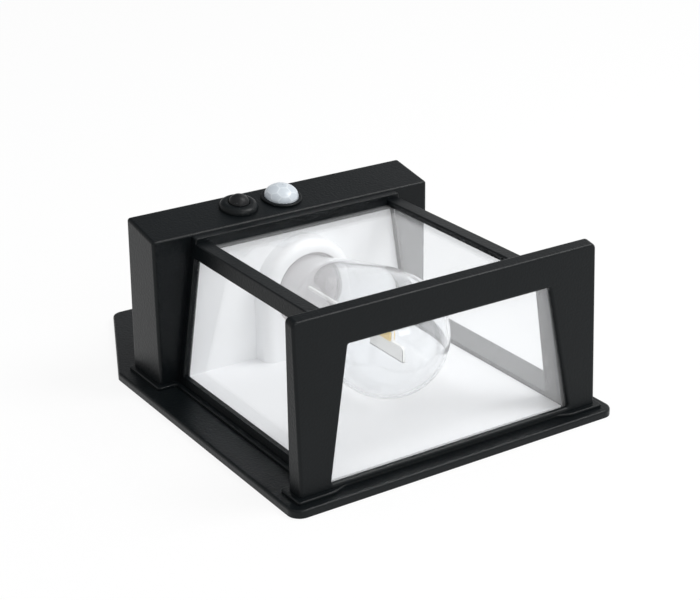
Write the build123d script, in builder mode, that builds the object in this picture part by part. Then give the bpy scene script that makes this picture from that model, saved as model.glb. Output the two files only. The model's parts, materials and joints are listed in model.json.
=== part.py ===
"""Solar wall light: wall plate, one-piece lamp body with a clear lantern, bulb, motion sensor, push button.

Millimetres. +Z is up along the wall, the wall is the plane Y = 0, the light stands out towards -Y.
The origin lies on the wall, midway between the two wall screws.
"""
import os
from math import atan2, cos, sin, tan

from build123d import *

os.makedirs("parts", exist_ok=True)

# Main sizes of the lamp body. Heights run up from the plate's lower edge, reaches out from the platform.
frame_foot = 5.0
frame_depth = 7.7
lantern_length = 90.7
housing_height = 21.7
housing_width = 116.4
housing_reach_high = 58.2
housing_face_slope = 3.8
housing_high_lean = 1.8
housing_wall = 1.8
housing_round = 1.2

# Lower end frame
frame_overhang = 1.6
frame_overreach = 0.4
frame_rake = 2.8
frame_crown = 1.0
frame_round = 1.0
frame_corner_round = 2.0
frame_leg_foot = 11.5
frame_leg_top = 19.8
frame_head = 11.6
frame_lip = 1.6
opening_foot = 1.5
opening_corner = 0.8
opening_round = 1.0

# Lantern rails between the end frame and the housing
cage_setback = 7.2
cage_lean = 0.15
rail_step = 2.6
rail_width = 5.6
rail_depth = 5.2
rail_flange = 2.0
rail_web = 1.8
rail_round = 0.6
post_depth = 5.5
side_sill = 2.65
ring_thickness = 3.3
ring_step = 0.7
ring_head = 6.5
ring_leg = 3.4
ring_round = 0.5

# Wall plate
plate_thickness = 2.8
plate_border = 5.45
plate_corner = 4.5
plate_edge_round = 0.9
tab_height = 52.0
tab_taper = 23.0
shoulder_drop = 1.1
platform_rise = 1.2
platform_lip = 2.0
platform_corner = 1.0
platform_edge_round = 0.5
platform_notch_slant = 5.0
platform_notch_round = 5.0
screw_row_drop = 25.0
wall_screw_spacing = 56.0
wall_screw_hole_d = 4.5

# Screws that hold the plate to the body
plate_screw_d = 2.5
plate_screw_head_d = 5.4
plate_screw_head = 1.4
plate_screw_length = 12.0
plate_screw_sink = 0.2
screw_fit = 0.04
screw_clearance = 0.3
boss_d = 7.0
boss_root = 0.8
boss_length = 20.0
leg_screw_inset = 5.4
pilot_spare = 1.0

# Seal between plate and housing
seal_width = 1.2
seal_depth = 0.8

# Clear cover
cover_wall = 1.3
cover_end_wall = 2.0
cover_round = 0.5

# White reflector
floor_thickness = 1.2
end_wall_thickness = 1.5
reflector_gap = 0.3
lamp_boss_margin = 2.2
lamp_boss_length = 8.0
lamp_boss_round = 4.0

# Bulb. Drops run down from the rim of its base.
bulb_gap = 0.3
bulb_floor_gap = 3.0
bulb_wall = 1.1
bulb_centre_drop = 49.0
bulb_shoulder_drop = 23.0
bulb_shoulder_inset = 4.1
bulb_neck_r = 13.2
bulb_base_r = 13.8
bulb_base_gap = 0.2
bulb_base_inset = 1.1
bulb_tail_r = 9.2
bulb_tail_length = 4.0
bulb_tail_gap = 0.3
led_strip_width = 13.0
led_strip_thickness = 1.0
led_strip_drop = 59.4
led_strip_length = 20.0
led_strip_root = 3.4
led_tongue_width = 5.6
led_tongue_length = 6.5
led_strip_corner = 1.5
led_tail_width = 1.0
led_length = 6.0
led_width = 3.3
led_height = 0.7
led_shift = 0.75
led_margin = 0.3
led_count = 2
led_pitch = 6.6

# Solar panel on the upper face
solar_side_margin = 8.2
solar_edge_margin = 6.6
solar_gap = 0.3
solar_backing_thickness = 0.8
solar_cell_thickness = 0.2
solar_cover_thickness = 0.5
solar_pad = 0.7
solar_rib = 2.0
cell_count = 8
cell_gap = 0.8
cell_margin = 3.0
solar_lead_d = 2.4
solar_lead_spacing = 12.0

# Motion sensor and push button on the sloping outward face
control_rise = 0.4
pir_hole_r = 6.9
pir_bezel_r = 7.6
pir_bezel_rise = 1.0
pir_bezel_wall = 0.4
pir_bezel_round = 0.4
pir_fit = 0.05
pir_lens_crown = 4.4
pir_lens_wall = 0.6
pir_flange_r = 7.3
pir_flange_thickness = 0.8
pir_can_r = 4.1
pir_can_height = 4.2
pir_can_flange_r = 4.6
pir_can_flange = 0.6
pir_window = 3.4
pir_window_depth = 0.3
button_x = -18.0
button_r = 3.8
button_gap = 0.3
button_wall_rise = 2.6
button_crown = 2.6
button_travel = 1.2
button_flange_r = 6.0
button_flange_thickness = 0.8
button_stem_r = 2.4
button_collar_r = 7.2
button_collar_rise = 2.4
button_collar_round = 2.2
plunger_r = 1.5
plunger_gap = 0.3
plunger_free = 1.6
plunger_length = 2.8
plunger_well = 2.8
switch_size = 8.0
switch_height = 4.0

# Circuit board behind the outward face
board_length = 48.0
board_clearance = 5.5
board_thickness = 1.6
board_x = -7.6
board_rise = -1.0
board_boss_d = 5.2
board_boss_spacing = 40.6
board_boss_rise = -2.0
board_screw_d = 1.8
board_screw_head_d = 4.0
board_screw_head = 1.4
board_screw_length = 6.0

# Battery in its holder, lying across the housing
cell_length = 48.5
cell_nub_r = 2.75
cell_nub = 1.5
cell_round = 0.8
cell_side_gap = 0.15
holder_floor = 1.2
holder_side = 0.9
holder_end = 1.6
holder_side_reach = 9.0
holder_end_reach = 13.0
contact_thickness = 0.4
contact_size = 8.0
holder_gap = 0.9
holder_drop = 0.5

# Datums that follow from the sizes above
seat = plate_thickness + platform_rise
frame_back = frame_foot + frame_depth
housing_low = frame_back + lantern_length
housing_high = housing_low + housing_height
housing_high_out = housing_high - housing_high_lean
housing_middle = (housing_low + housing_high) / 2
shoulder_height = housing_high - shoulder_drop
plate_height = shoulder_height + tab_height
screw_row = plate_height - screw_row_drop

frame_width = housing_width + 2 * frame_overhang
opening_foot_width = frame_width - 2 * frame_leg_foot
opening_top_width = frame_width - 2 * frame_leg_top
platform_notch_half = opening_foot_width / 2 - platform_notch_slant
plate_width = frame_width + 2 * plate_border
plate_top_width = plate_width - 2 * tab_taper
cage_foot_half = housing_width / 2 - cage_setback

housing_reach_low = housing_reach_high - housing_face_slope
frame_reach = housing_reach_high + frame_overreach
opening_top = frame_reach - frame_head
ring_reach = housing_reach_low - ring_step
ring_window_reach = ring_reach - ring_head
rail_reach = housing_reach_low - rail_step
cover_reach = rail_reach - rail_flange
housing_out_low = seat + housing_reach_low
housing_out_high = seat + housing_reach_high
ring_low = housing_low - ring_thickness

bulb_r = (cover_reach - cover_wall - bulb_gap - floor_thickness - bulb_floor_gap) / 2
lamp_axis_reach = floor_thickness + bulb_floor_gap + bulb_r
lamp_axis = seat + lamp_axis_reach
lamp_boss_half = ring_window_reach - lamp_boss_margin - lamp_axis_reach
lamp_boss_low = housing_low - end_wall_thickness - lamp_boss_length
bulb_rim = lamp_boss_low + bulb_base_inset

boss_x = housing_width / 2 - housing_wall - boss_d / 2 + boss_root
leg_screw_x = frame_width / 2 - leg_screw_inset
leg_screw_height = frame_foot + frame_depth / 2
plate_screw_spots = [
    (-boss_x, housing_middle),
    (boss_x, housing_middle),
    (-leg_screw_x, leg_screw_height),
    (leg_screw_x, leg_screw_height),
]
cavity_height = housing_height - 2 * housing_wall
board_width = cavity_height - board_clearance
cell_r = cavity_height / 2 - holder_gap - holder_side - cell_side_gap
seal_span = housing_width - housing_wall
seal_rise = housing_height - housing_wall
solar_width = housing_width - 2 * solar_side_margin
solar_depth = housing_reach_high - 2 * solar_edge_margin
solar_thickness = solar_backing_thickness + solar_cell_thickness + solar_cover_thickness

# Wall plane: local x runs right, local y runs up from the plate's lower edge. Side plane: local x runs out.
wall = Plane(origin=(0, 0, -screw_row), x_dir=(1, 0, 0), z_dir=(0, -1, 0))
side = Plane(origin=(0, 0, -screw_row), x_dir=(0, -1, 0), z_dir=(-1, 0, 0))


def level(height):
    """Plane across the wall at a height, facing down: local x runs right, local y runs out from the wall."""
    return Plane(origin=(0, 0, height - screw_row), x_dir=(1, 0, 0), z_dir=(0, 0, -1))


def cage_half(reach, inset=0.0):
    """Half width of the leaning lantern side at a reach above the platform."""
    return cage_foot_half - cage_lean * reach - inset


# Sloping outward face of the housing, facing out and slightly down
face_tilt = atan2(housing_face_slope, housing_high_out - housing_low)
face_out = (housing_out_low + housing_out_high) / 2
face_height = (housing_low + housing_high_out) / 2
face = Plane(
    origin=(0, -face_out, face_height - screw_row),
    x_dir=(1, 0, 0),
    z_dir=(0, -cos(face_tilt), -sin(face_tilt)),
)

# Upper face of the housing, facing up and slightly out
roof_tilt = atan2(housing_high_lean, housing_reach_high)
roof = Plane(
    origin=(0, -(seat + housing_out_high) / 2, (housing_high + housing_high_out) / 2 - screw_row),
    x_dir=(1, 0, 0),
    z_dir=(0, -sin(roof_tilt), cos(roof_tilt)),
)

# Depths below the outward face
button_flange_depth = housing_wall + button_gap
plunger_top_depth = button_flange_depth + button_flange_thickness + plunger_free
switch_top_depth = plunger_top_depth + button_travel + plunger_gap
board_depth = switch_top_depth + switch_height

# Wall plate: rounded outline with a tapered tab, platform following the foot of the lamp body
with BuildPart() as wall_plate:
    with BuildSketch(wall) as plate_outline:
        with BuildLine():
            Polyline(
                (-plate_width / 2, 0),
                (plate_width / 2, 0),
                (plate_width / 2, shoulder_height),
                (plate_top_width / 2, plate_height),
                (-plate_top_width / 2, plate_height),
                (-plate_width / 2, shoulder_height),
                close=True,
            )
        make_face()
        fillet(plate_outline.vertices(), plate_corner)
    extrude(amount=plate_thickness)
    plate_rim = wall_plate.faces().sort_by(Axis.Y)[0].edges()
    fillet(plate_rim, plate_edge_round)
    with BuildSketch(wall.offset(plate_thickness)) as platform_outline:
        with Locations((0, (housing_low - platform_lip + housing_high) / 2)):
            Rectangle(housing_width + 2 * platform_lip, housing_height + platform_lip)
        with Locations((0, (frame_foot + housing_low) / 2)):
            Rectangle(2 * (cage_foot_half + platform_lip), housing_low - frame_foot)
        with Locations((0, (frame_foot + frame_back) / 2)):
            Rectangle(frame_width + 2 * platform_lip, frame_depth + 2 * platform_lip)
        fillet(platform_outline.vertices(), platform_corner)
        with BuildLine():
            Polyline(
                (-platform_notch_half, frame_foot),
                (platform_notch_half, frame_foot),
                (opening_foot_width / 2, frame_foot - platform_lip),
                (-opening_foot_width / 2, frame_foot - platform_lip),
                close=True,
            )
        make_face(mode=Mode.SUBTRACT)
        notch = platform_outline.vertices().filter_by_position(
            Axis.X, -opening_foot_width / 2, opening_foot_width / 2
        )
        fillet(notch, platform_notch_round)
    extrude(amount=platform_rise)
    platform_rim = wall_plate.faces().sort_by(Axis.Y)[0].outer_wire().edges()
    fillet(platform_rim, platform_edge_round)
    with BuildSketch(wall.offset(seat)) as seal_groove:
        with Locations((0, housing_middle)):
            Rectangle(seal_span + seal_width, seal_rise + seal_width)
            Rectangle(seal_span - seal_width, seal_rise - seal_width, mode=Mode.SUBTRACT)
    extrude(amount=-seal_depth, mode=Mode.SUBTRACT)
    with BuildSketch(wall) as wall_screw_holes:
        with Locations((0, screw_row)):
            with GridLocations(wall_screw_spacing, 0, 2, 1):
                Circle(wall_screw_hole_d / 2)
    extrude(amount=plate_thickness, mode=Mode.SUBTRACT)
    with BuildSketch(wall) as plate_screw_holes:
        with Locations(plate_screw_spots):
            Circle(plate_screw_d / 2 + screw_clearance)
    extrude(amount=seat, mode=Mode.SUBTRACT)
    with BuildSketch(wall) as plate_screw_recesses:
        with Locations(plate_screw_spots):
            Circle(plate_screw_head_d / 2 + screw_clearance)
    extrude(amount=plate_screw_sink + plate_screw_head, mode=Mode.SUBTRACT)
wall_plate.part.label = "wall_plate"
export_step(wall_plate.part, "parts/wall_plate.step")

# Rubber seal in the platform groove under the rim of the housing
with BuildPart() as housing_seal:
    with BuildSketch(wall.offset(seat - seal_depth)) as seal_ring:
        with Locations((0, housing_middle)):
            Rectangle(seal_span + seal_width, seal_rise + seal_width)
            Rectangle(seal_span - seal_width, seal_rise - seal_width, mode=Mode.SUBTRACT)
    extrude(amount=seal_depth)
housing_seal.part.label = "housing_seal"
export_step(housing_seal.part, "parts/housing_seal.step")

# Outside and inside of the clear cover: leaning sides, lower end parallel to the raked front of the frame
cover_inset = rail_web + cover_wall
cover_inner_reach = cover_reach - cover_wall
cover_foot = frame_foot + frame_lip
lantern_foot = cover_foot + cover_end_wall
with BuildPart() as cover_block:
    with BuildSketch(level(ring_low)) as cover_outside:
        with BuildLine():
            Polyline(
                (-cage_half(0, rail_web), seat),
                (cage_half(0, rail_web), seat),
                (cage_half(cover_reach, rail_web), seat + cover_reach),
                (-cage_half(cover_reach, rail_web), seat + cover_reach),
                close=True,
            )
        make_face()
    extrude(amount=ring_low - frame_foot)
    with BuildSketch(side) as cover_end:
        with BuildLine():
            Polyline(
                (seat, cover_foot),
                (seat + frame_reach, cover_foot + frame_rake),
                (seat + frame_reach, ring_low),
                (seat, ring_low),
                close=True,
            )
        make_face()
    extrude(amount=frame_width / 2, both=True, mode=Mode.INTERSECT)

with BuildPart() as lantern_space:
    with BuildSketch(level(ring_low)) as cover_inside:
        with BuildLine():
            Polyline(
                (-cage_half(0, cover_inset), seat),
                (cage_half(0, cover_inset), seat),
                (cage_half(cover_inner_reach, cover_inset), seat + cover_inner_reach),
                (-cage_half(cover_inner_reach, cover_inset), seat + cover_inner_reach),
                close=True,
            )
        make_face()
    extrude(amount=ring_low - frame_foot)
    with BuildSketch(side) as lantern_end:
        with BuildLine():
            Polyline(
                (seat, lantern_foot),
                (seat + frame_reach, lantern_foot + frame_rake),
                (seat + frame_reach, ring_low),
                (seat, ring_low),
                close=True,
            )
        make_face()
    extrude(amount=frame_width / 2, both=True, mode=Mode.INTERSECT)

# Lamp body: lower end frame, housing block, ring and rails in one moulding
with BuildPart() as lamp_body:
    with BuildSketch(side) as frame_profile:
        with BuildLine():
            Polyline(
                (seat, frame_foot),
                (seat, frame_back),
                (seat + frame_reach + frame_crown, frame_back),
                (seat + frame_reach, frame_foot + frame_rake),
                close=True,
            )
        make_face()
    extrude(amount=frame_width / 2, both=True)
    frame_corners = lamp_body.edges().filter_by(Axis.X, reverse=True).group_by(Axis.Y)[0]
    fillet(frame_corners, frame_corner_round)
    frame_ends = lamp_body.faces().sort_by(Axis.Z)
    frame_edges = frame_ends[0].edges() + frame_ends[-1].edges()
    fillet(frame_edges.filter_by_position(Axis.Y, -plate_height, -(seat + frame_round)), frame_round)
    with BuildSketch(level(frame_back)) as frame_opening:
        with BuildLine():
            Polyline(
                (-opening_foot_width / 2, seat + opening_foot),
                (opening_foot_width / 2, seat + opening_foot),
                (opening_top_width / 2, seat + opening_top),
                (-opening_top_width / 2, seat + opening_top),
                close=True,
            )
        make_face()
        fillet(frame_opening.vertices(), opening_corner)
    extrude(amount=frame_depth, mode=Mode.SUBTRACT)
    frame_front = lamp_body.faces().sort_by(SortBy.AREA)[-2:].sort_by(Axis.Z)[0]
    fillet(frame_front.inner_wires()[0].edges(), opening_round)
    with BuildSketch(level(frame_back + post_depth)) as front_posts:
        with BuildLine():
            Polyline(
                (-cage_half(0), seat),
                (cage_half(0), seat),
                (cage_half(rail_reach), seat + rail_reach),
                (-cage_half(rail_reach), seat + rail_reach),
                close=True,
            )
        make_face()
    extrude(amount=post_depth)
    add(cover_block.part, mode=Mode.SUBTRACT)

    with BuildSketch(side) as block_profile:
        with BuildLine():
            Polyline(
                (seat, housing_low),
                (housing_out_low, housing_low),
                (housing_out_high, housing_high_out),
                (seat, housing_high),
                close=True,
            )
        make_face()
    extrude(amount=housing_width / 2, both=True)
    block_edges = lamp_body.edges(Select.LAST)
    fillet(block_edges.filter_by_position(Axis.Y, -plate_height, -(seat + frame_round)), housing_round)
    with BuildSketch(side) as cavity_profile:
        with BuildLine():
            Polyline(
                (seat - housing_wall, housing_low),
                (housing_out_low, housing_low),
                (housing_out_high, housing_high_out),
                (seat - housing_wall, housing_high + housing_wall * tan(roof_tilt)),
                close=True,
            )
        make_face()
        offset(amount=-housing_wall, kind=Kind.INTERSECTION, mode=Mode.REPLACE)
    extrude(amount=housing_width / 2 - housing_wall, both=True, mode=Mode.SUBTRACT)

    with BuildSketch(roof.offset(-housing_wall / 2)) as solar_seat:
        Rectangle(solar_width + 2 * solar_rib, solar_depth + 2 * solar_rib)
    extrude(amount=-(housing_wall / 2 + solar_pad))
    with BuildSketch(roof) as solar_recess:
        Rectangle(solar_width + 2 * solar_gap, solar_depth + 2 * solar_gap)
    extrude(amount=-solar_thickness, mode=Mode.SUBTRACT)
    with BuildSketch(roof) as solar_leads:
        with GridLocations(solar_lead_spacing, 0, 2, 1):
            Circle(solar_lead_d / 2)
    extrude(amount=-(housing_wall + solar_pad), mode=Mode.SUBTRACT)

    with BuildSketch(wall.offset(seat)) as screw_bosses:
        with Locations((-boss_x, housing_middle), (boss_x, housing_middle)):
            Circle(boss_d / 2)
    extrude(amount=boss_length)
    with BuildSketch(wall.offset(seat)) as screw_pilots:
        with Locations(plate_screw_spots):
            Circle(plate_screw_d / 2 + screw_fit)
    extrude(amount=plate_screw_length - seat + pilot_spare, mode=Mode.SUBTRACT)

    with BuildSketch(face.offset(-housing_wall / 2)) as board_bosses:
        with Locations((board_x, board_boss_rise)):
            with GridLocations(board_boss_spacing, 0, 2, 1):
                Circle(board_boss_d / 2)
    extrude(amount=-(board_depth - housing_wall / 2))
    with BuildSketch(face.offset(-board_depth)) as board_pilots:
        with Locations((board_x, board_boss_rise)):
            with GridLocations(board_boss_spacing, 0, 2, 1):
                Circle(board_screw_d / 2 + screw_fit)
    extrude(amount=board_screw_length - board_thickness + pilot_spare, mode=Mode.SUBTRACT)
    with BuildSketch(face) as control_holes:
        with Locations((0, control_rise)):
            Circle(pir_hole_r)
        with Locations((button_x, control_rise)):
            Circle(button_r + button_gap)
    extrude(amount=-housing_wall, mode=Mode.SUBTRACT)
    with BuildSketch(level(housing_low + housing_wall)) as bulb_hole:
        with Locations((0, lamp_axis)):
            Circle(bulb_tail_r + bulb_tail_gap)
    extrude(amount=housing_wall, mode=Mode.SUBTRACT)

    with BuildSketch(level(housing_low)) as ring:
        with BuildLine():
            Polyline(
                (-cage_half(0), seat),
                (cage_half(0), seat),
                (cage_half(ring_reach), seat + ring_reach),
                (-cage_half(ring_reach), seat + ring_reach),
                close=True,
            )
        make_face()
        with BuildLine():
            Polyline(
                (-cage_half(0, ring_leg), seat),
                (cage_half(0, ring_leg), seat),
                (cage_half(ring_window_reach, ring_leg), seat + ring_window_reach),
                (-cage_half(ring_window_reach, ring_leg), seat + ring_window_reach),
                close=True,
            )
        make_face(mode=Mode.SUBTRACT)
        fillet(ring.vertices().group_by(Axis.Y)[-1], rail_round)
    extrude(amount=ring_thickness)
    ring_rim = lamp_body.faces(Select.LAST).sort_by(Axis.Z)[0].edges()
    fillet(ring_rim.filter_by_position(Axis.Y, -plate_height, -(seat + ring_round)), ring_round)
    with BuildSketch(level(housing_low)) as rails:
        with BuildLine():
            Polyline(
                (cage_half(rail_reach), seat + rail_reach),
                (cage_half(rail_reach) - rail_width, seat + rail_reach),
                (cage_half(rail_reach) - rail_width, seat + cover_reach),
                (cage_half(cover_reach, rail_web), seat + cover_reach),
                (cage_half(rail_reach - rail_depth, rail_web), seat + rail_reach - rail_depth),
                (cage_half(rail_reach - rail_depth), seat + rail_reach - rail_depth),
                close=True,
            )
        make_face()
        with BuildLine():
            Polyline(
                (cage_half(0), seat),
                (cage_half(side_sill), seat + side_sill),
                (cage_half(side_sill, rail_web), seat + side_sill),
                (cage_half(0, rail_web), seat),
                close=True,
            )
        make_face()
        mirror(about=Plane.YZ)
        fillet(rails.vertices().group_by(Axis.Y)[-1], rail_round)
    extrude(amount=lantern_length)
lamp_body.part.label = "lamp_body"
export_step(lamp_body.part, "parts/lamp_body.step")

# Clear cover: open at the wall and at the housing end, closed by the panel behind the lip of the end frame
with BuildPart() as clear_cover:
    add(cover_block.part)
    cover_edges = clear_cover.faces().sort_by(Axis.Y)[0].edges().filter_by(Axis.Z)
    fillet(cover_edges, cover_round)
    add(lantern_space.part, mode=Mode.SUBTRACT)
clear_cover.part.label = "clear_cover"
export_step(clear_cover.part, "parts/clear_cover.step")

# Reflector: floor on the platform, end wall against the housing, arched boss round the bulb base
floor_half = cage_half(floor_thickness, cover_inset + reflector_gap)
end_wall_foot_half = cage_half(floor_thickness, ring_leg + reflector_gap)
end_wall_top_half = cage_half(ring_window_reach, ring_leg + reflector_gap)
with BuildPart() as reflector:
    with BuildSketch(wall.offset(seat)) as floor_outline:
        with BuildLine():
            Polyline(
                (-floor_half, lantern_foot + reflector_gap),
                (floor_half, lantern_foot + reflector_gap),
                (floor_half, ring_low - reflector_gap),
                (end_wall_foot_half, ring_low - reflector_gap),
                (end_wall_foot_half, housing_low),
                (-end_wall_foot_half, housing_low),
                (-end_wall_foot_half, ring_low - reflector_gap),
                (-floor_half, ring_low - reflector_gap),
                close=True,
            )
        make_face()
    extrude(amount=floor_thickness)
    with BuildSketch(level(housing_low)) as end_wall:
        with BuildLine():
            Polyline(
                (-end_wall_foot_half, seat),
                (end_wall_foot_half, seat),
                (end_wall_top_half, seat + ring_window_reach - reflector_gap),
                (-end_wall_top_half, seat + ring_window_reach - reflector_gap),
                close=True,
            )
        make_face()
    extrude(amount=end_wall_thickness)
    with BuildSketch(level(housing_low - end_wall_thickness)) as boss_outline:
        with BuildLine():
            Line((-lamp_boss_half, seat), (lamp_boss_half, seat))
            Line((lamp_boss_half, seat), (lamp_boss_half, lamp_axis))
            ThreePointArc(
                (lamp_boss_half, lamp_axis), (0, lamp_axis + lamp_boss_half), (-lamp_boss_half, lamp_axis)
            )
            Line((-lamp_boss_half, lamp_axis), (-lamp_boss_half, seat))
        make_face()
    extrude(amount=lamp_boss_length)
    boss_front = reflector.faces(Select.LAST).filter_by(Axis.Z).sort_by(Axis.Z)[0]
    boss_edges = boss_front.edges().filter_by_position(Axis.Y, -plate_height, -(seat + 2 * floor_thickness))
    fillet(boss_edges, lamp_boss_round)
    with BuildSketch(level(housing_low)) as base_hole:
        with Locations((0, lamp_axis)):
            Circle(bulb_base_r + bulb_base_gap)
    extrude(amount=end_wall_thickness + lamp_boss_length, mode=Mode.SUBTRACT)
reflector.part.label = "reflector"
export_step(reflector.part, "parts/reflector.step")

# Bulb, turned about the lamp axis: local x is the radius, local y is the height
lamp_section = Plane(origin=(0, -lamp_axis, -screw_row), x_dir=(1, 0, 0), z_dir=(0, -1, 0))
lamp_line = Axis((0, -lamp_axis, 0), (0, 0, 1))
bulb_centre_height = bulb_rim - bulb_centre_drop
bulb_shoulder_height = bulb_rim - bulb_shoulder_drop
bulb_shoulder_r = bulb_r - bulb_shoulder_inset

with BuildPart() as bulb_globe:
    with BuildSketch(lamp_section) as globe_profile:
        with BuildLine():
            Spline(
                (bulb_neck_r, bulb_rim),
                (bulb_shoulder_r, bulb_shoulder_height),
                (bulb_r, bulb_centre_height),
                tangents=[(0, -1), (0, -1)],
            )
            CenterArc((0, bulb_centre_height), bulb_r, -90, 90)
            Line((0, bulb_centre_height - bulb_r), (0, bulb_centre_height - bulb_r + bulb_wall))
            CenterArc((0, bulb_centre_height), bulb_r - bulb_wall, -90, 90)
            Spline(
                (bulb_neck_r - bulb_wall, bulb_rim),
                (bulb_shoulder_r - bulb_wall, bulb_shoulder_height),
                (bulb_r - bulb_wall, bulb_centre_height),
                tangents=[(0, -1), (0, -1)],
            )
            Line((bulb_neck_r - bulb_wall, bulb_rim), (bulb_neck_r, bulb_rim))
        make_face()
    revolve(axis=lamp_line)
bulb_globe.part.label = "bulb_globe"
export_step(bulb_globe.part, "parts/bulb_globe.step")

with BuildPart() as bulb_base:
    with BuildSketch(lamp_section) as base_profile:
        with BuildLine():
            Polyline(
                (0, bulb_rim),
                (bulb_base_r, bulb_rim),
                (bulb_base_r, housing_low),
                (bulb_tail_r, housing_low),
                (bulb_tail_r, housing_low + bulb_tail_length),
                (0, housing_low + bulb_tail_length),
                close=True,
            )
        make_face()
    revolve(axis=lamp_line)
    with BuildSketch(level(bulb_rim + led_strip_root)) as strip_slot:
        with Locations((0, lamp_axis)):
            Rectangle(led_strip_thickness, led_tail_width)
    extrude(amount=led_strip_root, mode=Mode.SUBTRACT)
bulb_base.part.label = "bulb_base"
export_step(bulb_base.part, "parts/bulb_base.step")

led_strip_tip = bulb_rim - led_strip_drop
led_step = led_strip_tip + led_tongue_length
led_strip_inner = lamp_axis - led_strip_width / 2
with BuildPart() as led_strip:
    with BuildSketch(side) as strip_outline:
        with BuildLine():
            Polyline(
                (led_strip_inner, led_strip_tip),
                (led_strip_inner + led_tongue_width, led_strip_tip),
                (led_strip_inner + led_tongue_width, led_step),
                (led_strip_inner + led_strip_width, led_step),
                (led_strip_inner + led_strip_width, led_strip_tip + led_strip_length),
                (led_strip_inner, led_strip_tip + led_strip_length),
                close=True,
            )
        make_face()
        fillet(strip_outline.vertices().group_by(Axis.Y)[0].sort_by(Axis.X)[-1], led_strip_corner)
        with Locations((lamp_axis, (led_step + bulb_rim + led_strip_root) / 2)):
            Rectangle(led_tail_width, bulb_rim + led_strip_root - led_step)
    extrude(amount=led_strip_thickness / 2, both=True)
led_strip.part.label = "led_strip"
export_step(led_strip.part, "parts/led_strip.step")

led_first = led_step + led_margin + led_length / 2
with BuildPart() as led_chips:
    with BuildSketch(side.offset(led_strip_thickness / 2)) as chip_row:
        with Locations((lamp_axis + led_shift, led_first + led_pitch * (led_count - 1) / 2)):
            with GridLocations(0, led_pitch, 1, led_count):
                Rectangle(led_width, led_length)
    extrude(amount=led_height)
    mirror(about=Plane.YZ)
led_chips.part.label = "led_chips"
export_step(led_chips.part, "parts/led_chips.step")

# Solar panel: backing board, cells and clear cover, stacked in the recess of the upper face
with BuildPart() as solar_backing:
    with BuildSketch(roof.offset(-solar_thickness)):
        Rectangle(solar_width, solar_depth)
    extrude(amount=solar_backing_thickness)
solar_backing.part.label = "solar_backing"
export_step(solar_backing.part, "parts/solar_backing.step")

cell_width = (solar_width - 2 * cell_margin - (cell_count - 1) * cell_gap) / cell_count
with BuildPart() as solar_cells:
    with BuildSketch(roof.offset(solar_backing_thickness - solar_thickness)):
        with GridLocations(cell_width + cell_gap, 0, cell_count, 1):
            Rectangle(cell_width, solar_depth - 2 * cell_margin)
    extrude(amount=solar_cell_thickness)
solar_cells.part.label = "solar_cells"
export_step(solar_cells.part, "parts/solar_cells.step")

with BuildPart() as solar_cover:
    with BuildSketch(roof.offset(-solar_cover_thickness)):
        Rectangle(solar_width, solar_depth)
    extrude(amount=solar_cover_thickness)
solar_cover.part.label = "solar_cover"
export_step(solar_cover.part, "parts/solar_cover.step")


def control_section(x):
    """Plane through a control's axis: local x is the radius, local y stands out of the outward face."""
    centre = face.from_local_coords((x, control_rise, 0))
    return Plane(origin=centre, x_dir=(1, 0, 0), z_dir=(0, sin(face_tilt), -cos(face_tilt)))


pir_section = control_section(0)
pir_line = Axis(pir_section.origin, pir_section.y_dir)
button_section = control_section(button_x)
button_line = Axis(button_section.origin, button_section.y_dir)

# Motion sensor: ring pressed into the face, milky dome clamped behind it, metal can on the board
bezel_bore_r = pir_hole_r - pir_fit - pir_bezel_wall
lens_r = bezel_bore_r - pir_fit
with BuildPart() as pir_bezel:
    with BuildSketch(pir_section) as bezel_profile:
        with BuildLine():
            Polyline(
                (bezel_bore_r, -housing_wall),
                (pir_hole_r - pir_fit, -housing_wall),
                (pir_hole_r - pir_fit, 0),
                (pir_bezel_r, 0),
                (pir_bezel_r, pir_bezel_rise),
                (bezel_bore_r, pir_bezel_rise),
                close=True,
            )
        make_face()
        fillet(bezel_profile.vertices().group_by(Axis.Y)[-1].sort_by(Axis.X)[-1], pir_bezel_round)
    revolve(axis=pir_line)
pir_bezel.part.label = "pir_bezel"
export_step(pir_bezel.part, "parts/pir_bezel.step")

lens_inner_r = lens_r - pir_lens_wall
lens_inner_crown = pir_lens_crown - pir_lens_wall
with BuildPart() as pir_lens:
    with BuildSketch(pir_section) as lens_profile:
        with BuildLine():
            Polyline(
                (lens_r, pir_bezel_rise),
                (lens_r, -housing_wall),
                (pir_flange_r, -housing_wall),
                (pir_flange_r, -housing_wall - pir_flange_thickness),
                (lens_inner_r, -housing_wall - pir_flange_thickness),
                (lens_inner_r, pir_bezel_rise),
            )
            RadiusArc(
                (lens_inner_r, pir_bezel_rise),
                (0, pir_bezel_rise + lens_inner_crown),
                -(lens_inner_r**2 + lens_inner_crown**2) / (2 * lens_inner_crown),
            )
            Line((0, pir_bezel_rise + lens_inner_crown), (0, pir_bezel_rise + pir_lens_crown))
            RadiusArc(
                (0, pir_bezel_rise + pir_lens_crown),
                (lens_r, pir_bezel_rise),
                (lens_r**2 + pir_lens_crown**2) / (2 * pir_lens_crown),
            )
        make_face()
    revolve(axis=pir_line)
pir_lens.part.label = "pir_lens"
export_step(pir_lens.part, "parts/pir_lens.step")

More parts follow.
